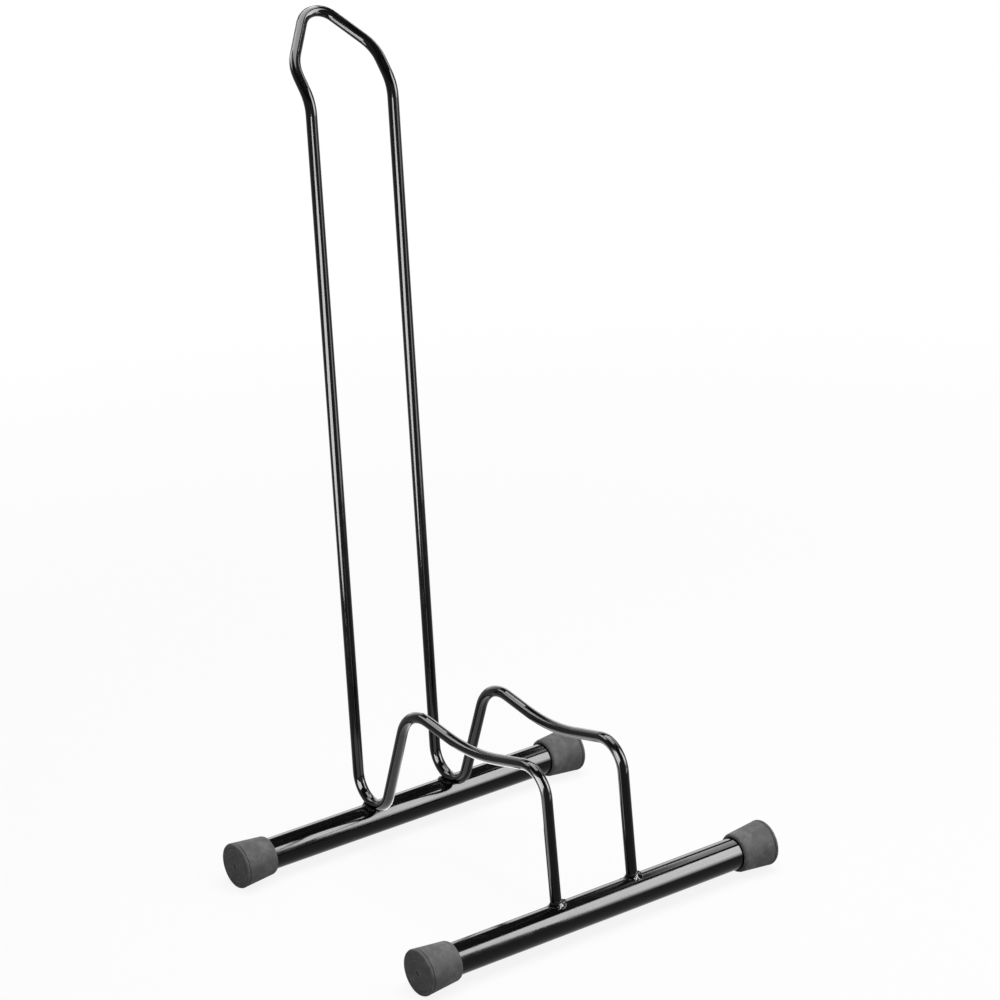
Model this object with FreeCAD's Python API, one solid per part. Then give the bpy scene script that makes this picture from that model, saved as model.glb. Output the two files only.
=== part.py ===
"""Floor rack for one bicycle: one bent steel rod welded to two floor tubes with rubber caps.

Millimetres, +Z up, +X along the floor tubes. The wheel rolls in over the front tube along +Y.
The origin is the middle of the footprint, on the floor.
"""
import FreeCAD, Part
import math
import os

Vector = FreeCAD.Vector
ORIGIN = Vector(0, 0, 0)
X_AXIS = Vector(1, 0, 0)

# ---- floor tubes
TUBE_DIAMETER = 25.4
TUBE_WALL = 1.5
TUBE_SPACING = 244.0
WIDTH_OVER_CAPS = 334.0

# ---- rubber caps, pushed over the tube ends
CAP_LENGTH = 31.0
CAP_FLOOR_THICKNESS = 4.5
CAP_LIP_DIAMETER = 36.6
CAP_LIP_WIDTH = 2.2
CAP_FACE_ROUNDING = 1.3
CAP_GROOVE_WIDTH = 1.2
CAP_GROOVE_DEPTH = 0.7
CAP_BODY_DIAMETER = 36.2
CAP_MOUTH_DIAMETER = 31.4
CAP_MOUTH_ROUNDING = 2.0
CAP_LEAD_IN_WIDTH = 0.5
CAP_LEAD_IN_DEPTH = 1.0
CAP_DIMPLE_DIAMETER = 4.0
CAP_DIMPLE_DEPTH = 0.4

# ---- bent rod: half spacings are between the rod's axis and the middle of the rack,
# ---- runs are measured back from the front tube's axis, heights from the floor
ROD_DIAMETER = 8.8
FOOT_HALF_SPACING = 36.5
PEAK_HALF_SPACING = 38.6
UPRIGHT_HALF_SPACING = 37.8
FOOT_RUN = 1.0
CORNER_RUN = 9.0
CORNER_HEIGHT = 141.0
CORNER_BEND = 22.0
TROUGH_RUN = 99.0
TROUGH_HEIGHT = 121.8
TROUGH_BEND = 160.0
PEAK_RUN = 180.5
PEAK_HEIGHT = 136.1
PEAK_BEND = 32.0
SEAT_RUN = 235.0
SEAT_BEND = 21.6
KNEE_RUN = 265.0
KNEE_HEIGHT = 604.5
KNEE_BEND = 29.0
ROOF_LEAN = math.radians(39)
SHOULDER_DISTANCE = 32.6
SHOULDER_BEND = 32.0
GABLE_DISTANCE = 84.6
GABLE_BEND = 18.0

# ---- weld beads
FOOT_FILLET_REACH = 3.2
FOOT_FILLET_EDGE = 0.5
FOOT_FILLET_RISE = 3.0
FOOT_FILLET_DROP = 3.2
FOOT_RIPPLE_CLEARANCE = 1.6
FOOT_RIPPLE_RADIUS = 2.4
FOOT_RIPPLE_ANGLES = (math.radians(-20), math.radians(45))
SEAT_BEAD_WIDTH = 7.4
SEAT_BEAD_LENGTH = 10.0
SEAT_RIPPLES = 5
SEAT_RIPPLE_RADIUS = 3.4
RIPPLE_UNEVENNESS = 0.1

# ---- values that follow from the ones above
TUBE_RADIUS = TUBE_DIAMETER / 2
TUBE_LENGTH = WIDTH_OVER_CAPS - 2 * CAP_FLOOR_THICKNESS
ROD_RADIUS = ROD_DIAMETER / 2
AXIS_HEIGHT = CAP_LIP_DIAMETER / 2


def bend_sagitta(bend_radius, half_angle):
    """How far an arc passes inside its corner, with half_angle between a leg and the bisector."""
    return bend_radius * (1 / math.sin(half_angle) - 1)


GABLE_HALF_ANGLE = math.atan2(UPRIGHT_HALF_SPACING, GABLE_DISTANCE - SHOULDER_DISTANCE)
GABLE_REACH = GABLE_DISTANCE - bend_sagitta(GABLE_BEND, GABLE_HALF_ANGLE)
BACK_RUN = KNEE_RUN + GABLE_REACH * math.sin(ROOF_LEAN) + ROD_RADIUS
FRONT_TUBE_Y = (CAP_LIP_DIAMETER / 2 - BACK_RUN) / 2
REAR_TUBE_Y = FRONT_TUBE_Y + TUBE_SPACING


def tangent_corner(front, back, centre, radius):
    """Where two tangents of a circle meet, one from the front point and one from the back point.

    All points are (run, height) pairs, seen from the side.
    """

    def touching_direction(point, side):
        to_centre = (centre[0] - point[0], centre[1] - point[1])
        angle = math.atan2(to_centre[1], to_centre[0])
        angle += side * math.asin(radius / math.hypot(*to_centre))
        return math.cos(angle), math.sin(angle)

    front_way = touching_direction(front, -1)
    back_way = touching_direction(back, 1)
    gap = (back[0] - front[0], back[1] - front[1])
    cross = front_way[0] * back_way[1] - front_way[1] * back_way[0]
    distance = (gap[0] * back_way[1] - gap[1] * back_way[0]) / cross
    return front[0] + front_way[0] * distance, front[1] + front_way[1] * distance


def seat_corner():
    """Corner of the tight bend whose underside rests on the rear tube."""
    offset = TUBE_SPACING - SEAT_RUN
    reach = TUBE_RADIUS + ROD_RADIUS + SEAT_BEND
    centre = (SEAT_RUN, AXIS_HEIGHT + math.sqrt(reach**2 - offset**2))
    return tangent_corner((PEAK_RUN, PEAK_HEIGHT), (KNEE_RUN, KNEE_HEIGHT), centre, SEAT_BEND)


def side_corners(side):
    """Corners and bend radii of the rod's left (side -1) or right (side 1) half, foot first."""
    seat_run, seat_height = seat_corner()
    shoulder_run = KNEE_RUN + SHOULDER_DISTANCE * math.sin(ROOF_LEAN)
    shoulder_height = KNEE_HEIGHT + SHOULDER_DISTANCE * math.cos(ROOF_LEAN)
    trough_half_spacing = (FOOT_HALF_SPACING + PEAK_HALF_SPACING) / 2
    corners = [
        (FOOT_HALF_SPACING, FOOT_RUN, AXIS_HEIGHT + TUBE_RADIUS / 2, 0),
        (FOOT_HALF_SPACING, CORNER_RUN, CORNER_HEIGHT, CORNER_BEND),
        (trough_half_spacing, TROUGH_RUN, TROUGH_HEIGHT, TROUGH_BEND),
        (PEAK_HALF_SPACING, PEAK_RUN, PEAK_HEIGHT, PEAK_BEND),
        (UPRIGHT_HALF_SPACING, seat_run, seat_height, SEAT_BEND),
        (UPRIGHT_HALF_SPACING, KNEE_RUN, KNEE_HEIGHT, KNEE_BEND),
        (UPRIGHT_HALF_SPACING, shoulder_run, shoulder_height, SHOULDER_BEND),
    ]
    return [
        (Vector(side * half, FRONT_TUBE_Y + run, height), bend) for half, run, height, bend in corners
    ]


def bent_wire(corners):
    """Straight runs joined by tangent arcs, one at each inner corner."""
    edges = []
    start = corners[0][0]
    for (before, _), (corner, bend), (after, _) in zip(corners, corners[1:], corners[2:]):
        arriving = (corner - before).normalize()
        leaving = (after - corner).normalize()
        half_turn = arriving.getAngle(leaving) / 2
        arc_start = corner - arriving * (bend * math.tan(half_turn))
        arc_end = corner + leaving * (bend * math.tan(half_turn))
        inward = (leaving - arriving).normalize()
        arc_middle = corner + inward * (bend / math.cos(half_turn) - bend)
        edges.append(Part.LineSegment(start, arc_start).toShape())
        edges.append(Part.Arc(arc_start, arc_middle, arc_end).toShape())
        start = arc_end
    edges.append(Part.LineSegment(start, corners[-1][0]).toShape())
    return Part.Wire(edges)


def tube_cylinder(tube_y, radius):
    """Solid cylinder on a floor tube's axis, as long as the tube."""
    start = Vector(-TUBE_LENGTH / 2, tube_y, AXIS_HEIGHT)
    return Part.makeCylinder(radius, TUBE_LENGTH, start, X_AXIS)


def make_rod():
    """The one bent rod: two feet, two cradles, two seats, two uprights and the gable between them."""
    left = side_corners(-1)
    right = side_corners(1)
    gable = Vector(
        0,
        FRONT_TUBE_Y + KNEE_RUN + GABLE_DISTANCE * math.sin(ROOF_LEAN),
        KNEE_HEIGHT + GABLE_DISTANCE * math.cos(ROOF_LEAN),
    )
    corners = left + [(gable, GABLE_BEND)] + right[::-1]
    path = bent_wire(corners)
    first_run = corners[1][0] - corners[0][0]
    section = Part.Wire(Part.makeCircle(ROD_RADIUS, corners[0][0], first_run))
    swept = path.makePipeShell([section], True, False)
    return swept.cut(tube_cylinder(FRONT_TUBE_Y, TUBE_RADIUS))


def make_tube(tube_y):
    """Plain round floor tube, open at both ends."""
    return tube_cylinder(tube_y, TUBE_RADIUS).cut(tube_cylinder(tube_y, TUBE_RADIUS - TUBE_WALL))


def rounding_middle(size):
    """How far the middle of a quarter arc of that radius stays inside its corner."""
    return size * (1 - math.sqrt(0.5))


def cap_profile():
    """Half section of a cap as (distance from the face, radius), turned about the tube's axis.

    Each rounding is two bevels that meet in the middle of its arc.
    """
    dimple = CAP_DIMPLE_DIAMETER / 2
    lip = CAP_LIP_DIAMETER / 2
    groove_middle = CAP_LIP_WIDTH + CAP_GROOVE_WIDTH / 2
    groove_end = CAP_LIP_WIDTH + CAP_GROOVE_WIDTH
    body = CAP_BODY_DIAMETER / 2
    mouth = CAP_MOUTH_DIAMETER / 2
    face_cut = rounding_middle(CAP_FACE_ROUNDING)
    mouth_cut = rounding_middle(CAP_MOUTH_ROUNDING)
    outline = [
        (CAP_DIMPLE_DEPTH, 0),
        (CAP_DIMPLE_DEPTH, dimple),
        (0, dimple),
        (0, lip - CAP_FACE_ROUNDING),
        (face_cut, lip - face_cut),
        (CAP_FACE_ROUNDING, lip),
        (CAP_LIP_WIDTH, lip),
        (groove_middle, lip - CAP_GROOVE_DEPTH),
        (groove_end, body),
        (CAP_LENGTH - CAP_MOUTH_ROUNDING, mouth),
        (CAP_LENGTH - mouth_cut, mouth - mouth_cut),
        (CAP_LENGTH, mouth - CAP_MOUTH_ROUNDING),
        (CAP_LENGTH, TUBE_RADIUS + CAP_LEAD_IN_WIDTH),
        (CAP_LENGTH - CAP_LEAD_IN_DEPTH, TUBE_RADIUS),
        (CAP_FLOOR_THICKNESS, TUBE_RADIUS),
        (CAP_FLOOR_THICKNESS, 0),
    ]
    points = [Vector(distance, 0, radius) for distance, radius in outline]
    return Part.Face(Part.makePolygon(points + points[:1]))


def make_cap(tube_y):
    """Rubber cap on the left end of a floor tube."""
    cap = cap_profile().revolve(ORIGIN, X_AXIS, 360)
    cap.translate(Vector(-WIDTH_OVER_CAPS / 2, tube_y, AXIS_HEIGHT))
    return cap


def tube_top(y, tube_y):
    """Height of a floor tube's surface at y."""
    return AXIS_HEIGHT + math.sqrt(TUBE_RADIUS**2 - (y - tube_y) ** 2)


def make_ripples(middle, reach, angles, radius, tube_y):
    """A ripple at each angle of an oval on the tube. reach is the oval's (x, y) half size.

    Ripples at the oval's sides are a little larger than those at its ends.
    """
    ripples = []
    for angle in angles:
        x = middle.x + reach[0] * math.cos(angle)
        y = middle.y + reach[1] * math.sin(angle)
        ripple_radius = radius * (1 + RIPPLE_UNEVENNESS * math.cos(2 * angle))
        ripples.append(Part.makeSphere(ripple_radius, Vector(x, y, tube_top(y, tube_y))))
    return ripples


def make_foot_bead(side, rod):
    """Bead round a foot: a smooth fillet, with ripples on its right where it was finished."""
    foot = Vector(side * FOOT_HALF_SPACING, FRONT_TUBE_Y + FOOT_RUN, 0)
    base = foot + Vector(0, 0, AXIS_HEIGHT + TUBE_RADIUS - FOOT_FILLET_DROP)
    height = FOOT_FILLET_DROP + FOOT_FILLET_RISE
    fillet = Part.makeCone(ROD_RADIUS + FOOT_FILLET_REACH, ROD_RADIUS + FOOT_FILLET_EDGE, height, base)
    reach = ROD_RADIUS + FOOT_RIPPLE_CLEARANCE
    ripples = make_ripples(foot, (reach, reach), FOOT_RIPPLE_ANGLES, FOOT_RIPPLE_RADIUS, FRONT_TUBE_Y)
    return fillet.fuse(ripples).cut(tube_cylinder(FRONT_TUBE_Y, TUBE_RADIUS)).cut(rod)


def make_seat_bead(rod):
    """Closed row of ripples round the place where the rod's left tight bend touches the rear tube."""
    offset = TUBE_SPACING - SEAT_RUN
    share = TUBE_RADIUS / (TUBE_RADIUS + ROD_RADIUS + SEAT_BEND)
    touch = Vector(-UPRIGHT_HALF_SPACING, REAR_TUBE_Y - offset * share, 0)
    angles = [2 * math.pi * index / SEAT_RIPPLES for index in range(SEAT_RIPPLES)]
    reach = (SEAT_BEAD_WIDTH / 2, SEAT_BEAD_LENGTH / 2)
    ripples = make_ripples(touch, reach, angles, SEAT_RIPPLE_RADIUS, REAR_TUBE_Y)
    return ripples[0].fuse(ripples[1:]).cut(tube_cylinder(REAR_TUBE_Y, TUBE_RADIUS)).cut(rod)


def build():
    """Every piece of the rack by name."""
    rod = make_rod()
    pieces = {
        "bent_rod": rod,
        "front_tube": make_tube(FRONT_TUBE_Y),
        "rear_tube": make_tube(REAR_TUBE_Y),
    }
    mirrored = {
        "front_cap": make_cap(FRONT_TUBE_Y),
        "rear_cap": make_cap(REAR_TUBE_Y),
        "rear_weld": make_seat_bead(rod),
    }
    for name, piece in mirrored.items():
        pieces[name + "_left"] = piece
        pieces[name + "_right"] = piece.mirror(ORIGIN, X_AXIS)
    pieces["front_weld_left"] = make_foot_bead(-1, rod)
    pieces["front_weld_right"] = make_foot_bead(1, rod)
    return pieces


os.makedirs("parts", exist_ok=True)
for name, shape in build().items():
    solid = shape.Solids[0]
    if len(shape.Solids) != 1 or not solid.isValid():
        raise RuntimeError(name + " is not one valid solid")
    solid.exportStep("parts/" + name + ".step")
    print(name, round(solid.Volume / 1000, 2), "cm3")
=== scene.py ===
"""Looks of a floor rack for one bicycle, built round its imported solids.

Metres, +Z up, +X along the floor tubes, +Y from the front tube to the rear one. The origin is the middle of
the footprint, on the floor. The rod, the tubes and the caps keep their solids and get their finishes here.
The weld beads are modelled here, ripple by ripple, in the place of the plain ones.
"""

import math
import random

import bmesh
import bpy
from mathutils import Matrix, Vector, noise


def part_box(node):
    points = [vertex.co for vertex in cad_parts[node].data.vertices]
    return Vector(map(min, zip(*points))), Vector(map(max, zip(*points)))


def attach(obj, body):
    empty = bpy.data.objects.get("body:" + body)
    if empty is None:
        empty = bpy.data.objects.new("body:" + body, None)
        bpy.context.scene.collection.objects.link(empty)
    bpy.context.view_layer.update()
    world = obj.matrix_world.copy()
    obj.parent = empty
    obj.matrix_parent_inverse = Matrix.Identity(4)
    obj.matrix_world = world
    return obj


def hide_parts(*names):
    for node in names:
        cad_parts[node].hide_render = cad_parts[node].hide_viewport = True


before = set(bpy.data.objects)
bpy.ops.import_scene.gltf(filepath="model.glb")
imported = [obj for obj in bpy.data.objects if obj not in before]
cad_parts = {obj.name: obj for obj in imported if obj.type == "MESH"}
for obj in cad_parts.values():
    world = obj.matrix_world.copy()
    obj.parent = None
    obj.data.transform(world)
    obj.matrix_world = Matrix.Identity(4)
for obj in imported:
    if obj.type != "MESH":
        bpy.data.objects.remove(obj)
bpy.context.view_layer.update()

bl_info = {
    "name": "Floor bike rack",
    "version": (1, 0, 0),
    "blender": (4, 5, 0),
    "location": "3D View > Sidebar > Bike Rack",
    "description": "Finishes, weld beads and studio of a floor rack for one bicycle",
    "category": "Object",
}

SIDES = ("left", "right")
TUBES = ("front_tube", "rear_tube")
CAPS = tuple(f"{row}_cap_{side}" for row in ("front", "rear") for side in SIDES)
MILLIMETRE = 0.001
FIRST_SEED = 11

# ---- colours
WHITE = (1, 1, 1, 1)
WORN_PAINT = (0.035, 0.034, 0.033, 1)
DUST_ON_PAINT = (0.16, 0.155, 0.15, 1)
DUST_ON_RUBBER = (0.25, 0.24, 0.23, 1)

# ---- sockets of a Mix node that mixes colours
MIX_FACTOR, MIX_FIRST, MIX_SECOND = 0, 6, 7
MIX_RESULT = 2

# ---- weld beads: angles in degrees from +X, shares of the bead's reach, and the drops' millimetres
FOOT_HEAVY_SIDE = 10
SEAT_HEAVY_SIDE = {"left": 190, "right": -10}
SEAT_SHIFT = 1.5 * MILLIMETRE
LUMP_SPREAD = 65
LUMP_REACH = (0.85, 1.4)
LUMP_LIFT = (0.0, 1.4)
LUMP_SLOPE = 1.6
SPATTER_REACH = (8.5, 13)
SPATTER_SIZE = (0.18, 0.42)
SPATTER_DEPTH = 0.55

# ---- the key box, which fades out towards the floor in strips
KEY_AZIMUTH = 47
KEY_DISTANCE = 2.0
KEY_FOOT = 0.65
KEY_TOP = 2.36
KEY_WIDTH = 1.2
KEY_RADIANCE = 50.0
KEY_FADES = 5

WORLD_STRENGTH = 0.12
SENSOR_WIDTH = 36

TUBE_LOW, TUBE_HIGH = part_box("front_tube")
TUBE_RADIUS = (TUBE_HIGH.z - TUBE_LOW.z) / 2
AXIS_HEIGHT = (TUBE_HIGH.z + TUBE_LOW.z) / 2


def tube_y(node):
    """Where a floor tube's axis lies, front to rear."""
    low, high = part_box(node)
    return (low.y + high.y) / 2


# ---- settings


class PaintSettings(bpy.types.PropertyGroup):
    """Gloss black paint of the rod, the tubes and the welds."""

    colour: bpy.props.FloatVectorProperty(
        name="Colour",
        description="Colour of the black paint",
        default=(0.0012, 0.0012, 0.0014),
        size=3,
        min=0,
        max=1,
        subtype="COLOR",
    )
    smooth: bpy.props.FloatProperty(
        name="Smooth areas",
        description="Roughness where the paint has flowed out well",
        default=0.07,
        min=0,
        max=1,
        subtype="FACTOR",
    )
    dull: bpy.props.FloatProperty(
        name="Dull areas",
        description="Roughness where the paint is thin or handled",
        default=0.14,
        min=0,
        max=1,
        subtype="FACTOR",
    )
    peel_size: bpy.props.FloatProperty(
        name="Orange peel size",
        description="Width of one ripple in the paint film",
        default=3.2 * MILLIMETRE,
        min=0.1 * MILLIMETRE,
        unit="LENGTH",
    )
    peel_depth: bpy.props.FloatProperty(
        name="Orange peel depth",
        description="Height of the ripples in the paint film",
        default=0.006 * MILLIMETRE,
        min=0,
        unit="LENGTH",
    )


class RubberSettings(bpy.types.PropertyGroup):
    """Moulded rubber of the caps."""

    colour: bpy.props.FloatVectorProperty(
        name="Colour",
        description="Colour of the rubber",
        default=(0.088, 0.088, 0.09),
        size=3,
        min=0,
        max=1,
        subtype="COLOR",
    )
    roughness: bpy.props.FloatProperty(
        name="Roughness",
        description="Roughness of the moulded skin",
        default=0.62,
        min=0,
        max=1,
        subtype="FACTOR",
    )
    grain_size: bpy.props.FloatProperty(
        name="Grain size",
        description="Width of one grain of the moulded skin",
        default=0.5 * MILLIMETRE,
        min=0.05 * MILLIMETRE,
        unit="LENGTH",
    )


class WeldSettings(bpy.types.PropertyGroup):
    """Hand-laid weld beads."""

    rod_diameter: bpy.props.FloatProperty(
        name="Rod diameter",
        description="Diameter of the rod that the fillets go round",
        default=8.8 * MILLIMETRE,
        min=MILLIMETRE,
        unit="LENGTH",
    )
    fillet_leg: bpy.props.FloatProperty(
        name="Fillet leg",
        description="How far the fillet at a foot reaches out on the tube and up the rod",
        default=3.4 * MILLIMETRE,
        min=0.5 * MILLIMETRE,
        unit="LENGTH",
    )
    ripple_radius: bpy.props.FloatProperty(
        name="Ripple radius",
        description="Half the width of the bead at a seat",
        default=2.1 * MILLIMETRE,
        min=0.5 * MILLIMETRE,
        unit="LENGTH",
    )
    ripple_pitch: bpy.props.FloatProperty(
        name="Ripple pitch",
        description="Distance from one ripple to the next along the bead",
        default=1.8 * MILLIMETRE,
        min=0.3 * MILLIMETRE,
        unit="LENGTH",
    )
    lump_radius: bpy.props.FloatProperty(
        name="Lump radius",
        description="Size of the lumps where a bead was finished",
        default=1.5 * MILLIMETRE,
        min=0.3 * MILLIMETRE,
        unit="LENGTH",
    )
    lumps: bpy.props.IntProperty(
        name="Lumps",
        description="Number of lumps where a bead was finished",
        default=13,
        min=0,
        max=40,
    )
    unevenness: bpy.props.FloatProperty(
        name="Unevenness",
        description="How much the ripples and the lumps differ in size",
        default=0.3,
        min=0,
        max=0.5,
        subtype="FACTOR",
    )
    spatter: bpy.props.IntProperty(
        name="Spatter",
        description="Small drops beside each bead",
        default=7,
        min=0,
        max=60,
    )


class StageSettings(bpy.types.PropertyGroup):
    """Floor, lights and camera."""

    floor_colour: bpy.props.FloatVectorProperty(
        name="Floor colour",
        description="Colour of the floor and the backdrop",
        default=(0.5, 0.5, 0.5),
        size=3,
        min=0,
        max=1,
        subtype="COLOR",
    )
    floor_glow: bpy.props.FloatProperty(
        name="Floor glow",
        description="Share of plain white in the floor beside the rack",
        default=0.88,
        min=0,
        max=1,
        subtype="FACTOR",
    )
    camera_place: bpy.props.FloatVectorProperty(
        name="Camera place",
        description="Where the photograph was taken from",
        default=(-1.66457, -2.34299, 1.37233),
        size=3,
        subtype="TRANSLATION",
        unit="LENGTH",
    )
    camera_turn: bpy.props.FloatProperty(
        name="Camera turn",
        description="Turn from +Y towards +X",
        default=math.radians(35.97),
        subtype="ANGLE",
    )
    camera_tilt: bpy.props.FloatProperty(
        name="Camera tilt",
        description="Tilt below the horizon",
        default=math.radians(20.37),
        subtype="ANGLE",
    )
    camera_roll: bpy.props.FloatProperty(
        name="Camera roll",
        description="Turn about the line of sight",
        default=math.radians(-2.73),
        subtype="ANGLE",
    )
    lens: bpy.props.FloatProperty(
        name="Lens",
        description="Focal length in millimetres on a 36 mm sensor",
        default=144.9,
        min=1,
    )


# ---- nodes


def add_node(tree, kind, inputs=None, **settings):
    """A node with its settings, and with its inputs linked to sockets or set to values."""
    node = tree.nodes.new(kind)
    for key, value in settings.items():
        setattr(node, key, value)
    for socket, value in (inputs or {}).items():
        if isinstance(value, bpy.types.NodeSocket):
            tree.links.new(value, node.inputs[socket])
        else:
            node.inputs[socket].default_value = value
    return node


def new_group(name, inputs, outputs):
    """An empty shader node group with named sockets, and its input and output nodes."""
    group = bpy.data.node_groups.new(name, "ShaderNodeTree")
    for label, value in inputs.items():
        socket = group.interface.new_socket(name=label, in_out="INPUT", socket_type="NodeSocketFloat")
        socket.default_value = value
    for label in outputs:
        group.interface.new_socket(name=label, in_out="OUTPUT", socket_type="NodeSocketFloat")
    return group, group.nodes.new("NodeGroupInput"), group.nodes.new("NodeGroupOutput")


def noise_at(tree, size, detail=2.0):
    """Noise in the piece's own frame, in features about size wide. size is a socket or a number."""
    coordinates = add_node(tree, "ShaderNodeTexCoord").outputs["Object"]
    scale = add_node(tree, "ShaderNodeMath", {0: 1.0, 1: size}, operation="DIVIDE").outputs[0]
    texture = add_node(
        tree,
        "ShaderNodeTexNoise",
        {"Vector": coordinates, "Scale": scale, "Detail": detail},
        noise_dimensions="3D",
    )
    return texture.outputs["Fac"]


def orange_peel_group():
    """Soft ripples of a sprayed paint film, in two sizes."""
    group, entry, out = new_group("orange_peel", {"Size": 0.003}, ("Height",))
    broad = noise_at(group, entry.outputs["Size"], detail=1.0)
    small = add_node(group, "ShaderNodeMath", {0: entry.outputs["Size"], 1: 0.3}, operation="MULTIPLY")
    fine = noise_at(group, small.outputs[0], detail=0.0)
    weighted = add_node(group, "ShaderNodeMath", {0: fine, 1: 0.06}, operation="MULTIPLY")
    total = add_node(group, "ShaderNodeMath", {0: broad, 1: weighted.outputs[0]}, operation="ADD")
    group.links.new(total.outputs[0], out.inputs["Height"])
    return group


def patches_group():
    """Broad uneven patches, as a mask and as a value between Low and High."""
    group, entry, out = new_group("patches", {"Size": 0.03, "Low": 0.0, "High": 1.0}, ("Mask", "Value"))
    clouds = noise_at(group, entry.outputs["Size"], detail=3.0)
    mask = add_node(
        group,
        "ShaderNodeMapRange",
        {"Value": clouds, "From Min": 0.35, "From Max": 0.65},
        interpolation_type="SMOOTHSTEP",
    )
    value = add_node(
        group,
        "ShaderNodeMapRange",
        {"Value": mask.outputs[0], "To Min": entry.outputs["Low"], "To Max": entry.outputs["High"]},
    )
    group.links.new(mask.outputs[0], out.inputs["Mask"])
    group.links.new(value.outputs[0], out.inputs["Value"])
    return group


def edge_wear_group():
    """Rubbed outer edges, broken up by noise."""
    inputs = {"Radius": 0.001, "Breakup": 0.004, "Amount": 1.0}
    group, entry, out = new_group("edge_wear", inputs, ("Mask",))
    rounded = add_node(group, "ShaderNodeBevel", {"Radius": entry.outputs["Radius"]}, samples=4)
    plain = add_node(group, "ShaderNodeNewGeometry")
    match = add_node(
        group,
        "ShaderNodeVectorMath",
        {0: rounded.outputs["Normal"], 1: plain.outputs["Normal"]},
        operation="DOT_PRODUCT",
    )
    edge = add_node(
        group,
        "ShaderNodeMapRange",
        {"Value": match.outputs["Value"], "From Min": 0.98, "From Max": 0.80},
    )
    breakup = noise_at(group, entry.outputs["Breakup"], detail=3.0)
    worn = add_node(group, "ShaderNodeMapRange", {"Value": breakup, "From Min": 0.42, "From Max": 0.68})
    both = add_node(group, "ShaderNodeMath", {0: edge.outputs[0], 1: worn.outputs[0]}, operation="MULTIPLY")
    total = add_node(
        group, "ShaderNodeMath", {0: both.outputs[0], 1: entry.outputs["Amount"]}, operation="MULTIPLY"
    )
    group.links.new(total.outputs[0], out.inputs["Mask"])
    return group


def groove_shade_group():
    """Painted shade: a darker colour in grooves and inner corners, where ambient occlusion finds surfaces
    close by.
    """
    group, entry, out = new_group("groove_shade", {"Size": 0.001, "Amount": 1.0}, ("Mask",))
    closeness = add_node(
        group, "ShaderNodeAmbientOcclusion", {"Distance": entry.outputs["Size"]}, samples=8, only_local=True
    )
    hollow = add_node(
        group, "ShaderNodeMapRange", {"Value": closeness.outputs["AO"], "From Min": 0.95, "From Max": 0.5}
    )
    total = add_node(
        group, "ShaderNodeMath", {0: hollow.outputs[0], 1: entry.outputs["Amount"]}, operation="MULTIPLY"
    )
    group.links.new(total.outputs[0], out.inputs["Mask"])
    return group


def rings_group():
    """Fine rings round the axes of both floor tubes, as a moulding tool leaves them.

    Middle is halfway between the tubes, Half is from there to either, and Height is their axes' height.
    Noise bends the rings and breaks them up.
    """
    inputs = {"Middle": 0.0, "Half": 0.1, "Height": 0.02, "Pitch": 0.002}
    group, entry, out = new_group("rings", inputs, ("Mask",))
    place = add_node(group, "ShaderNodeTexCoord").outputs["Object"]
    axes = add_node(group, "ShaderNodeSeparateXYZ", {0: place})

    def step(operation, first, second=0.0):
        """One sum of two sockets or numbers."""
        return add_node(group, "ShaderNodeMath", {0: first, 1: second}, operation=operation).outputs[0]

    across = step("SUBTRACT", axes.outputs["Y"], entry.outputs["Middle"])
    across = step("SUBTRACT", step("ABSOLUTE", across), entry.outputs["Half"])
    lift = step("SUBTRACT", axes.outputs["Z"], entry.outputs["Height"])
    reach = step("SQRT", step("ADD", step("MULTIPLY", across, across), step("MULTIPLY", lift, lift)))
    turns = step("MULTIPLY", step("DIVIDE", reach, entry.outputs["Pitch"]), 2 * math.pi)
    bend = step("MULTIPLY", noise_at(group, size=0.008, detail=1.0), 6.0)
    wave = step("SINE", step("ADD", turns, bend))
    gaps = noise_at(group, size=0.012, detail=2.0)
    breakup = add_node(group, "ShaderNodeMapRange", {"Value": gaps, "From Min": 0.4, "From Max": 0.65})
    crest = add_node(group, "ShaderNodeMapRange", {"Value": wave, "From Min": 0.2, "From Max": 1.0})
    group.links.new(step("MULTIPLY", crest.outputs[0], breakup.outputs[0]), out.inputs["Mask"])
    return group


def dust_group():
    """Fine specks that settle on what faces up."""
    group, entry, out = new_group("dust", {"Size": 0.0006, "Amount": 1.0}, ("Mask",))
    specks = noise_at(group, entry.outputs["Size"], detail=2.0)
    sparse = add_node(group, "ShaderNodeMapRange", {"Value": specks, "From Min": 0.66, "From Max": 0.74})
    normal = add_node(group, "ShaderNodeNewGeometry").outputs["Normal"]
    height = add_node(group, "ShaderNodeSeparateXYZ", {0: normal}).outputs["Z"]
    facing_up = add_node(group, "ShaderNodeMapRange", {"Value": height, "From Min": 0.1, "From Max": 0.9})
    settled = add_node(
        group, "ShaderNodeMath", {0: sparse.outputs[0], 1: facing_up.outputs[0]}, operation="MULTIPLY"
    )
    total = add_node(
        group, "ShaderNodeMath", {0: settled.outputs[0], 1: entry.outputs["Amount"]}, operation="MULTIPLY"
    )
    group.links.new(total.outputs[0], out.inputs["Mask"])
    return group


GROUPS = {
    "orange_peel": orange_peel_group,
    "patches": patches_group,
    "edge_wear": edge_wear_group,
    "groove_shade": groove_shade_group,
    "rings": rings_group,
    "dust": dust_group,
}


def effect(tree, name, **inputs):
    """A shared effect as one node of a material. Its group is built the first time it is asked for."""
    group = bpy.data.node_groups.get(name) or GROUPS[name]()
    node = tree.nodes.new("ShaderNodeGroup")
    node.node_tree = group
    for label, value in inputs.items():
        node.inputs[label.capitalize()].default_value = value
    return node


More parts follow.
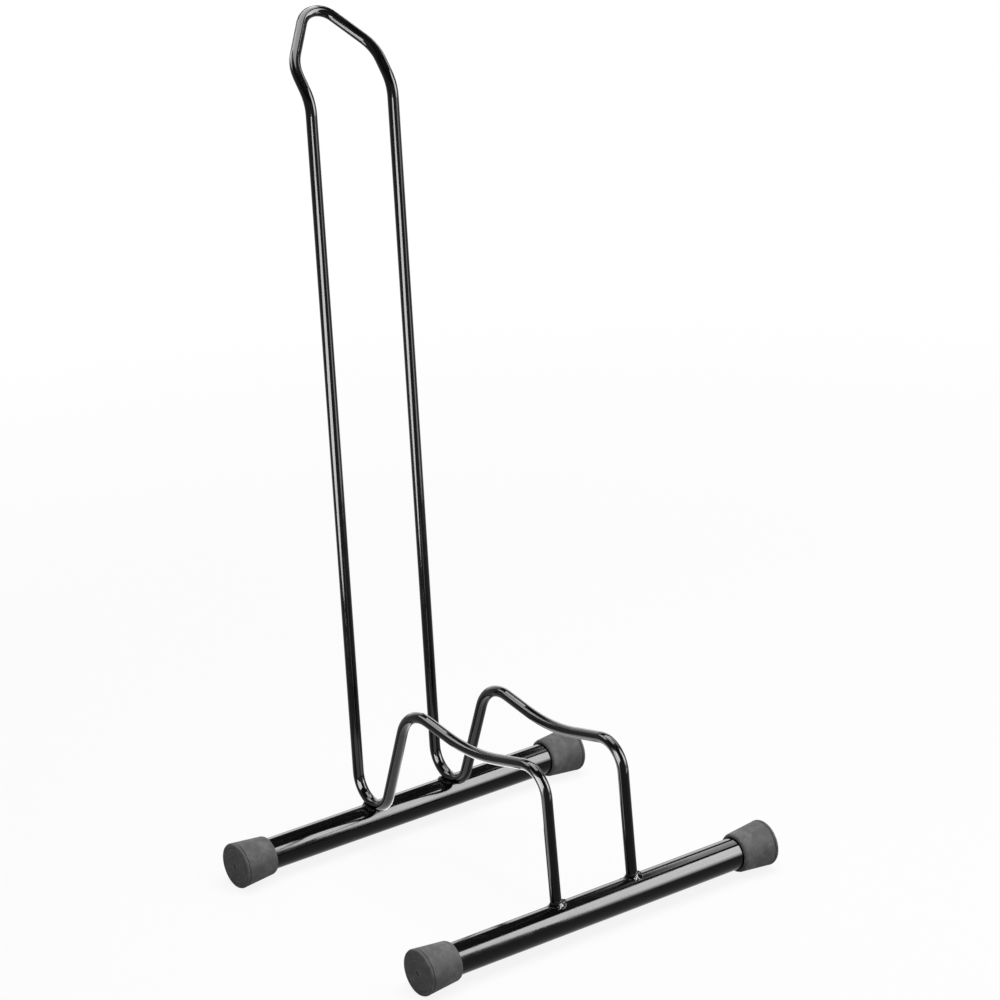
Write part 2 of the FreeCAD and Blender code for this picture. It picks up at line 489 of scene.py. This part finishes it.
def mix_colour(tree, mask, first, second):
    """first where mask is 0, second where it is 1."""
    node = add_node(tree, "ShaderNodeMix", data_type="RGBA")
    for index, value in ((MIX_FACTOR, mask), (MIX_FIRST, first), (MIX_SECOND, second)):
        if isinstance(value, bpy.types.NodeSocket):
            tree.links.new(value, node.inputs[index])
        else:
            node.inputs[index].default_value = value
    return node.outputs[MIX_RESULT]


def new_material(name):
    """A material with one Principled shader, its tree and that shader."""
    material = bpy.data.materials.new(name)
    material.use_nodes = True
    tree = material.node_tree
    tree.nodes.clear()
    shader = tree.nodes.new("ShaderNodeBsdfPrincipled")
    output = tree.nodes.new("ShaderNodeOutputMaterial")
    tree.links.new(shader.outputs[0], output.inputs["Surface"])
    return material, tree, shader


def shade(colour, factor):
    """The colour made lighter or darker, with alpha."""
    return tuple(channel * factor for channel in colour) + (1.0,)


def paint_material(name, settings, patch_size, specular=0.11, dulling=0.0, pits=0.0):
    """Gloss black paint. dulling adds roughness all over, pits deepens the film's unevenness."""
    material, tree, shader = new_material(name)
    smooth = settings.smooth + dulling
    dull = settings.dull + dulling
    patches = effect(tree, "patches", size=patch_size, low=smooth, high=dull)
    dust = effect(tree, "dust", size=0.7 * MILLIMETRE, amount=0.15)
    wear = effect(tree, "edge_wear", radius=0.5 * MILLIMETRE, breakup=3.0 * MILLIMETRE, amount=0.35)
    peel = effect(tree, "orange_peel", size=settings.peel_size)
    deep = shade(settings.colour, 1)
    thin = shade(settings.colour, 1.5)
    colour = mix_colour(tree, patches.outputs["Mask"], deep, thin)
    colour = mix_colour(tree, wear.outputs["Mask"], colour, WORN_PAINT)
    colour = mix_colour(tree, dust.outputs["Mask"], colour, DUST_ON_PAINT)
    dusty = add_node(
        tree,
        "ShaderNodeMath",
        {0: dust.outputs["Mask"], 1: 0.4, 2: patches.outputs["Value"]},
        operation="MULTIPLY_ADD",
    )
    bump = add_node(
        tree,
        "ShaderNodeBump",
        {"Height": peel.outputs["Height"], "Strength": 1.0, "Distance": settings.peel_depth * (1 + pits)},
    )
    tree.links.new(colour, shader.inputs["Base Color"])
    tree.links.new(dusty.outputs[0], shader.inputs["Roughness"])
    tree.links.new(bump.outputs["Normal"], shader.inputs["Normal"])
    shader.inputs["Specular IOR Level"].default_value = specular
    return material


def rubber_material(name, settings):
    """Dark grey moulded rubber: mottled, stained, finely grained, a little paler on its edges, and with
    painted shade in its grooves and inner corners.
    """
    material, tree, shader = new_material(name)
    roughest = settings.roughness + 0.12
    mottle = effect(tree, "patches", size=7 * MILLIMETRE, low=settings.roughness, high=roughest)
    stains = effect(tree, "patches", size=3.5 * MILLIMETRE, low=0.0, high=0.75)
    wear = effect(tree, "edge_wear", radius=1.2 * MILLIMETRE, breakup=6.0 * MILLIMETRE, amount=0.6)
    rings = effect(
        tree,
        "rings",
        middle=(tube_y("front_tube") + tube_y("rear_tube")) / 2,
        half=(tube_y("rear_tube") - tube_y("front_tube")) / 2,
        height=AXIS_HEIGHT,
        pitch=3.4 * MILLIMETRE,
    )
    # painted shade: ambient occlusion marks the grooves and inner corners that are darkened below
    groove_shade = effect(tree, "groove_shade", size=1.4 * MILLIMETRE, amount=0.8)
    dust = effect(tree, "dust", size=0.6 * MILLIMETRE, amount=0.12)
    dark = shade(settings.colour, 0.8)
    pale = shade(settings.colour, 1.2)
    colour = mix_colour(tree, mottle.outputs["Mask"], dark, pale)
    colour = mix_colour(tree, stains.outputs["Value"], colour, shade(settings.colour, 0.72))
    colour = mix_colour(tree, rings.outputs["Mask"], colour, shade(settings.colour, 1.3))
    colour = mix_colour(tree, wear.outputs["Mask"], colour, shade(settings.colour, 2.4))
    # painted shade: the grooves and inner corners get a much darker rubber colour
    colour = mix_colour(tree, groove_shade.outputs["Mask"], colour, shade(settings.colour, 0.2))
    colour = mix_colour(tree, dust.outputs["Mask"], colour, DUST_ON_RUBBER)
    grain = noise_at(tree, settings.grain_size, detail=3.0)
    bump = add_node(
        tree,
        "ShaderNodeBump",
        {"Height": grain, "Strength": 0.5, "Distance": 0.05 * MILLIMETRE},
    )
    tree.links.new(colour, shader.inputs["Base Color"])
    tree.links.new(mottle.outputs["Value"], shader.inputs["Roughness"])
    tree.links.new(bump.outputs["Normal"], shader.inputs["Normal"])
    shader.inputs["Specular IOR Level"].default_value = 0.04
    return material


def give_finish(piece, material):
    """The piece's only material."""
    piece.data.materials.clear()
    piece.data.materials.append(material)


# ---- weld beads


def surface_height(y, axis_y):
    """Height of the top of a floor tube at y."""
    return AXIS_HEIGHT + math.sqrt(max(TUBE_RADIUS**2 - (y - axis_y) ** 2, 0))


def add_ball(shape, x, y, z, radius):
    """A ball that the bead's skin will be drawn over."""
    bmesh.ops.create_icosphere(
        shape, subdivisions=3, radius=radius, matrix=Matrix.Translation((x, y, z))
    )


def add_fillet(shape, middle, axis_y, settings, rng):
    """Hollow-sided fillet round an upright rod, laid over the tube's round.

    Its leg changes in two waves as it goes round, and it overlaps the rod and the tube.
    """
    rod = settings.rod_diameter / 2
    overlap = 0.8 * MILLIMETRE
    broad_wave = 0.12
    small_wave = 0.08
    steps = 8
    around = 48
    phase = rng.uniform(0, 2 * math.pi)
    columns = []
    for index in range(around):
        angle = 2 * math.pi * index / around
        sway = 1 + broad_wave * math.sin(2 * angle + phase) + small_wave * math.sin(5 * angle)
        leg = settings.fillet_leg * sway
        arc = [math.pi / 2 * step / steps for step in range(steps + 1)]
        profile = [(rod + leg - leg * math.sin(turn), leg - leg * math.cos(turn)) for turn in arc]
        profile += [(rod - overlap, leg), (rod - overlap, -overlap), (rod + leg, -overlap)]
        column = []
        for reach, lift in profile:
            x = middle.x + reach * math.cos(angle)
            y = middle.y + reach * math.sin(angle)
            column.append(shape.verts.new((x, y, surface_height(y, axis_y) + lift)))
        columns.append(column)
    rows = len(columns[0])
    for index, column in enumerate(columns):
        after = columns[(index + 1) % around]
        for row in range(rows):
            above = (row + 1) % rows
            shape.faces.new((column[row], after[row], after[above], column[above]))


def add_ripples(shape, middle, half_x, half_y, axis_y, settings, rng):
    """Row of ripples round an oval of those half sizes. They are half as uneven as the lumps."""
    count = round(math.pi * (half_x + half_y) / settings.ripple_pitch)
    for index in range(count):
        angle = 2 * math.pi * index / count
        radius = settings.ripple_radius * (1 + 0.5 * settings.unevenness * rng.uniform(-1, 1))
        x = middle.x + half_x * math.cos(angle)
        y = middle.y + half_y * math.sin(angle)
        add_ball(shape, x, y, surface_height(y, axis_y), radius)


def add_lumps(shape, middle, reach, axis_y, heavy_side, settings, rng):
    """Lumps of metal heaped where the bead was finished, on its heavy side."""
    for _ in range(settings.lumps):
        angle = heavy_side + math.radians(rng.uniform(-LUMP_SPREAD, LUMP_SPREAD))
        distance = reach * rng.uniform(*LUMP_REACH)
        radius = settings.lump_radius * (1 + settings.unevenness * rng.uniform(-1, 1))
        lift = settings.lump_radius * rng.uniform(*LUMP_LIFT) * (LUMP_SLOPE - distance / reach)
        x = middle.x + distance * math.cos(angle)
        y = middle.y + distance * math.sin(angle)
        add_ball(shape, x, y, surface_height(y, axis_y) + lift, radius)


def skin_over(shape, name, voxel, smoothing):
    """One closed mesh over the overlapping forms of a shape, smoothed."""
    rough = bpy.data.meshes.new(name + "_rough")
    shape.to_mesh(rough)
    shape.free()
    carrier = bpy.data.objects.new(name + "_rough", rough)
    bpy.context.scene.collection.objects.link(carrier)
    merge = carrier.modifiers.new("merge", "REMESH")
    merge.mode = "VOXEL"
    merge.voxel_size = voxel
    soften = carrier.modifiers.new("soften", "SMOOTH")
    soften.factor = 0.5
    soften.iterations = smoothing
    graph = bpy.context.evaluated_depsgraph_get()
    mesh = bpy.data.meshes.new_from_object(carrier.evaluated_get(graph))
    mesh.name = name
    bpy.data.objects.remove(carrier)
    bpy.data.meshes.remove(rough)
    return mesh


def roughen(mesh, size, depth):
    """Moves each point along its normal by noise, in features about size wide."""
    fall_off, size_step, octaves = 1.0, 2.0, 2
    mesh.update()
    for vertex in mesh.vertices:
        lift = noise.fractal(vertex.co / size, fall_off, size_step, octaves)
        vertex.co += vertex.normal * depth * lift


def add_spatter(mesh, settings, middle, axis_y, rng):
    """Small drops of metal stuck to the tube, in an oval round the bead."""
    shape = bmesh.new()
    shape.from_mesh(mesh)
    for _ in range(settings.spatter):
        angle = rng.uniform(0, 2 * math.pi)
        reach = rng.uniform(*SPATTER_REACH) * MILLIMETRE
        x = middle.x + reach * math.cos(angle)
        y = middle.y + SPATTER_DEPTH * reach * math.sin(angle)
        size = rng.uniform(*SPATTER_SIZE) * MILLIMETRE
        place = Vector((x, y, surface_height(y, axis_y)))
        bmesh.ops.create_icosphere(shape, subdivisions=2, radius=size, matrix=Matrix.Translation(place))
    shape.to_mesh(mesh)
    shape.free()


def lay_bead(node, tube, shape, middle, settings, rng):
    """Turns a bead's rough shape into the piece that replaces the plain bead."""
    mesh = skin_over(shape, node + "_bead", voxel=0.28 * MILLIMETRE, smoothing=2)
    roughen(mesh, size=1.4 * MILLIMETRE, depth=0.14 * MILLIMETRE)
    add_spatter(mesh, settings, middle, tube_y(tube), rng)
    mesh.shade_smooth()
    bead = bpy.data.objects.new(node + "_bead", mesh)
    bpy.context.scene.collection.objects.link(bead)
    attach(bead, "root")
    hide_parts(node)
    return bead


def foot_bead(side, settings, seed):
    """Bead round one of the rod's feet: a fillet with lumps on its right."""
    rng = random.Random(seed)
    node = "front_weld_" + side
    low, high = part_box(node)
    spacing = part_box("front_weld_right")[0].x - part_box("front_weld_left")[0].x
    sign = -1 if side == "left" else 1
    middle = Vector((sign * spacing / 2, (low.y + high.y) / 2, high.z))
    axis_y = tube_y("front_tube")
    shape = bmesh.new()
    add_fillet(shape, middle, axis_y, settings, rng)
    reach = settings.rod_diameter / 2 + settings.lump_radius
    add_lumps(shape, middle, reach, axis_y, math.radians(FOOT_HEAVY_SIDE), settings, rng)
    return lay_bead(node, "front_tube", shape, middle, settings, rng)


def seat_bead(side, settings, seed):
    """Bead under one of the rod's seats: a row of ripples with lumps on its outer side."""
    rng = random.Random(seed)
    node = "rear_weld_" + side
    low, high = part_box(node)
    middle = (low + high) / 2
    middle.y += SEAT_SHIFT
    half_x = (high.x - low.x) / 2 - settings.ripple_radius
    half_y = (high.y - low.y) / 2 - settings.ripple_radius - SEAT_SHIFT
    axis_y = tube_y("rear_tube")
    outward = math.radians(SEAT_HEAVY_SIDE[side])
    shape = bmesh.new()
    add_ripples(shape, middle, half_x, half_y, axis_y, settings, rng)
    add_lumps(shape, middle, half_x, axis_y, outward, settings, rng)
    return lay_bead(node, "rear_tube", shape, middle, settings, rng)


# ---- studio


def turned_wall(radius, corner, height, steps):
    """Floor that curves up into a wall all round, as one smooth mesh."""
    profile = [Vector((0, 0, 0)), Vector((radius / 2, 0, 0))]
    for index in range(steps + 1):
        angle = math.pi / 2 * index / steps
        profile.append(
            Vector((radius - corner + corner * math.sin(angle), 0, corner - corner * math.cos(angle)))
        )
    profile.append(Vector((radius, 0, height)))
    shape = bmesh.new()
    line = [shape.verts.new(point) for point in profile]
    edges = [shape.edges.new(pair) for pair in zip(line, line[1:])]
    bmesh.ops.spin(
        shape,
        geom=line + edges,
        cent=(0, 0, 0),
        axis=(0, 0, 1),
        angle=2 * math.pi,
        steps=96,
        use_merge=True,
    )
    bmesh.ops.remove_doubles(shape, verts=shape.verts, dist=0.001)
    mesh = bpy.data.meshes.new("studio_floor")
    shape.to_mesh(mesh)
    shape.free()
    mesh.shade_smooth()
    return mesh


def floor_material(settings):
    """Pale floor. Part of it glows to the eye and in reflections: some near the rack, all of it far off."""
    material, tree, shader = new_material("pale_floor")
    clouds = noise_at(tree, size=0.4, detail=3.0)
    dark = shade(settings.floor_colour, 0.985)
    pale = shade(settings.floor_colour, 1)
    colour = mix_colour(tree, clouds, dark, pale)
    tree.links.new(colour, shader.inputs["Base Color"])
    shader.inputs["Roughness"].default_value = 0.9
    shader.inputs["Specular IOR Level"].default_value = 0.1
    place = add_node(tree, "ShaderNodeTexCoord").outputs["Object"]
    distance = add_node(tree, "ShaderNodeVectorMath", {0: place}, operation="LENGTH").outputs["Value"]
    near, far = 0.35, 1.6
    glow = add_node(
        tree,
        "ShaderNodeMapRange",
        {
            "Value": distance,
            "From Min": near,
            "From Max": far,
            "To Min": settings.floor_glow,
            "To Max": 1.0,
        },
        interpolation_type="SMOOTHSTEP",
    )
    path = add_node(tree, "ShaderNodeLightPath")
    seen = add_node(
        tree,
        "ShaderNodeMath",
        {0: path.outputs["Is Camera Ray"], 1: path.outputs["Is Glossy Ray"]},
        operation="MAXIMUM",
    )
    seen = add_node(
        tree,
        "ShaderNodeMath",
        {0: seen.outputs[0], 1: path.outputs["Is Transmission Ray"]},
        operation="MAXIMUM",
    )
    share = add_node(tree, "ShaderNodeMath", {0: seen.outputs[0], 1: glow.outputs[0]}, operation="MULTIPLY")
    white = add_node(tree, "ShaderNodeEmission", {"Color": WHITE, "Strength": 1.0})
    mixed = add_node(
        tree, "ShaderNodeMixShader", {0: share.outputs[0], 1: shader.outputs[0], 2: white.outputs[0]}
    )
    output = next(node for node in tree.nodes if node.type == "OUTPUT_MATERIAL")
    tree.links.new(mixed.outputs[0], output.inputs["Surface"])
    return material


def compass(azimuth, distance, height=0.0):
    """Point round the rack. Azimuth is in degrees, from -Y towards +X."""
    angle = math.radians(azimuth)
    return Vector((distance * math.sin(angle), -distance * math.cos(angle), height))


def soft_box(name, centre, back, size, radiance, turn=0.0, gloss=True, diffuse=True, only=None):
    """Soft box of a (width, height). It shines away from back, and turn is in degrees about back.

    With only, its light reaches that one piece and nothing else.
    """
    width, height = size
    lamp = bpy.data.lights.new(name, "AREA")
    lamp.shape = "RECTANGLE"
    lamp.size = width
    lamp.size_y = height
    lamp.energy = radiance * width * height * math.pi
    box = bpy.data.objects.new(name, lamp)
    box.matrix_world = (
        Matrix.Translation(centre)
        @ back.to_track_quat("Z", "Y").to_matrix().to_4x4()
        @ Matrix.Rotation(math.radians(turn), 4, "Z")
    )
    box.visible_camera = False
    box.visible_glossy = gloss
    box.visible_diffuse = diffuse
    if only is not None:
        receivers = bpy.data.collections.new(name + "_receivers")
        receivers.objects.link(only)
        box.light_linking.receiver_collection = receivers
    bpy.context.scene.collection.objects.link(box)


def standing_box(name, azimuth, distance, low, high, width, radiance, **use):
    """Upright soft box that faces the rack, between two heights."""
    centre = compass(azimuth, distance, (low + high) / 2)
    soft_box(name, centre, compass(azimuth, 1.0), (width, high - low), radiance, **use)


def light_rack():
    """Soft light for the rubber and the floor, and boxes that the paint mirrors.

    The boxes in on_rod light the bent rod alone.
    """
    up = Vector((0, 0, 1))
    soft_box("top_light", Vector((0.1, -0.2, 1.9)), up, size=(1.5, 1.5), radiance=9.0, gloss=False)
    standing_box(
        "front_light", azimuth=44, distance=1.6, low=0.2, high=1.6, width=1.0, radiance=2.0, gloss=False
    )

    mirrored = {"diffuse": False}
    key = {"azimuth": KEY_AZIMUTH, "distance": KEY_DISTANCE, "width": KEY_WIDTH, **mirrored}
    standing_box("key_box", low=KEY_FOOT, high=KEY_TOP, radiance=KEY_RADIANCE, **key)
    for step in range(KEY_FADES):
        low = KEY_FOOT * step / KEY_FADES
        high = KEY_FOOT * (step + 1) / KEY_FADES
        radiance = KEY_RADIANCE * (step + 0.5) / KEY_FADES
        standing_box(f"key_fade_{step}", low=low, high=high, radiance=radiance, **key)
    standing_box(
        "rim_box", azimuth=142, distance=2.6, low=0.2, high=1.56, width=1.2, radiance=3.5, **mirrored
    )
    standing_box(
        "tail_box", azimuth=176, distance=2.6, low=0.2, high=2.26, width=1.6, radiance=3.5, **mirrored
    )
    roof = Vector((1.55, 0.30, 1.38))
    soft_box("roof_box", roof, up, size=(1.0, 1.3), radiance=12.0, turn=-11, **mirrored)

    on_rod = {"diffuse": False, "only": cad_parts["bent_rod"]}
    standing_box(
        "rear_box", azimuth=217, distance=1.5, low=1.0, high=2.2, width=1.0, radiance=22.0, **on_rod
    )
    standing_box(
        "crown_box", azimuth=126, distance=1.6, low=1.95, high=2.8, width=0.8, radiance=20.0, **on_rod
    )
    over_gable = Vector((0.10, 0.36, 1.6))
    soft_box("gable_box", over_gable, up, size=(1.12, 1.24), radiance=27.0, **on_rod)
    beside_cradle = Vector((-0.5175, -0.14, 0.215))
    away = Vector((-0.9, -0.437, 0))
    soft_box("side_box", beside_cradle, away, size=(0.8, 0.28), radiance=60.0, turn=34, **on_rod)
    beside_foot = Vector((-0.10, -0.122, 0.085))
    leftward = Vector((-1, 0, 0))
    soft_box("foot_box", beside_foot, leftward, size=(0.06, 0.15), radiance=11.0, **on_rod)
    right_floor = Vector((0.926, -1.316, 0.006))
    soft_box("right_card", right_floor, -up, size=(0.5, 1.8), radiance=15.0, turn=-33, **on_rod)
    under_cradle = Vector((-0.065, 0.03, TUBE_HIGH.z + 3 * MILLIMETRE))
    soft_box("cradle_card", under_cradle, -up, size=(0.19, 0.10), radiance=3.6, **on_rod)


# ---- operators


class RACK_OT_bent_rod(bpy.types.Operator):
    """Paints the bent rod"""

    bl_idname = "rack.bent_rod"
    bl_label = "Bent rod"

    def execute(self, context):
        settings = context.scene.rack_paint
        paint = paint_material("rod_black_paint", settings, patch_size=18 * MILLIMETRE)
        give_finish(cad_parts["bent_rod"], paint)
        return {"FINISHED"}


class RACK_OT_floor_tubes(bpy.types.Operator):
    """Paints the two floor tubes"""

    bl_idname = "rack.floor_tubes"
    bl_label = "Floor tubes"

    def execute(self, context):
        settings = context.scene.rack_paint
        paint = paint_material("tube_black_paint", settings, patch_size=40 * MILLIMETRE)
        for name in TUBES:
            give_finish(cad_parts[name], paint)
        return {"FINISHED"}


class RACK_OT_end_caps(bpy.types.Operator):
    """Gives the four end caps their rubber"""

    bl_idname = "rack.end_caps"
    bl_label = "End caps"

    def execute(self, context):
        rubber = rubber_material("cap_dark_rubber", context.scene.rack_rubber)
        for name in CAPS:
            give_finish(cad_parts[name], rubber)
        return {"FINISHED"}


class RACK_OT_weld_beads(bpy.types.Operator):
    """Lays the four weld beads"""

    bl_idname = "rack.weld_beads"
    bl_label = "Weld beads"

    def execute(self, context):
        paint = paint_material(
            "weld_black_paint",
            context.scene.rack_paint,
            patch_size=5 * MILLIMETRE,
            specular=0.15,
            dulling=0.03,
            pits=1.0,
        )
        settings = context.scene.rack_weld
        for seed, side in enumerate(SIDES, FIRST_SEED):
            give_finish(foot_bead(side, settings, seed), paint)
            give_finish(seat_bead(side, settings, seed + len(SIDES)), paint)
        return {"FINISHED"}


class RACK_OT_stage(bpy.types.Operator):
    """Sets up the floor, the lights and the camera"""

    bl_idname = "rack.stage"
    bl_label = "Stage"

    def execute(self, context):
        settings = context.scene.rack_stage
        scene = context.scene
        wall = turned_wall(radius=5.5, corner=1.2, height=2.6, steps=12)
        floor = bpy.data.objects.new("studio_floor", wall)
        scene.collection.objects.link(floor)
        give_finish(floor, floor_material(settings))

        world = bpy.data.worlds.new("studio_air")
        world.use_nodes = True
        air = world.node_tree.nodes["Background"]
        air.inputs["Color"].default_value = WHITE
        air.inputs["Strength"].default_value = WORLD_STRENGTH
        scene.world = world

        light_rack()

        camera = bpy.data.objects.new("photo_camera", bpy.data.cameras.new("photo_camera"))
        camera.data.lens = settings.lens
        camera.data.sensor_width = SENSOR_WIDTH
        camera.matrix_world = (
            Matrix.Translation(settings.camera_place)
            @ Matrix.Rotation(-settings.camera_turn, 4, "Z")
            @ Matrix.Rotation(math.pi / 2 - settings.camera_tilt, 4, "X")
            @ Matrix.Rotation(settings.camera_roll, 4, "Z")
        )
        scene.collection.objects.link(camera)
        scene.camera = camera
        scene.view_settings.view_transform = "Standard"
        return {"FINISHED"}


class RACK_PT_sidebar(bpy.types.Panel):
    """Settings and steps of the rack in the sidebar"""

    bl_idname = "RACK_PT_sidebar"
    bl_label = "Bike rack"
    bl_space_type = "VIEW_3D"
    bl_region_type = "UI"
    bl_category = "Bike Rack"

    def draw(self, context):
        steps = self.layout.column(align=True)
        for step in OPERATORS:
            steps.operator(step.bl_idname)
        for name, group in SETTINGS.items():
            column = self.layout.column(align=True)
            for key in group.__annotations__:
                column.prop(getattr(context.scene, name), key)


SETTINGS = {
    "rack_paint": PaintSettings,
    "rack_rubber": RubberSettings,
    "rack_weld": WeldSettings,
    "rack_stage": StageSettings,
}
OPERATORS = (
    RACK_OT_bent_rod,
    RACK_OT_floor_tubes,
    RACK_OT_end_caps,
    RACK_OT_weld_beads,
    RACK_OT_stage,
)


def register():
    """Adds the settings, the operators and the panel."""
    for group in SETTINGS.values():
        bpy.utils.register_class(group)
    for name, group in SETTINGS.items():
        setattr(bpy.types.Scene, name, bpy.props.PointerProperty(type=group))
    for step in OPERATORS:
        bpy.utils.register_class(step)
    bpy.utils.register_class(RACK_PT_sidebar)


def unregister():
    """Takes them away again."""
    bpy.utils.unregister_class(RACK_PT_sidebar)
    for step in reversed(OPERATORS):
        bpy.utils.unregister_class(step)
    for name in SETTINGS:
        delattr(bpy.types.Scene, name)
    for group in reversed(tuple(SETTINGS.values())):
        bpy.utils.unregister_class(group)


def main():
    register()
    bpy.ops.rack.bent_rod()
    bpy.ops.rack.floor_tubes()
    bpy.ops.rack.end_caps()
    bpy.ops.rack.weld_beads()
    bpy.ops.rack.stage()
    bpy.context.view_layer.update()


if __name__ == "__main__":
    main()
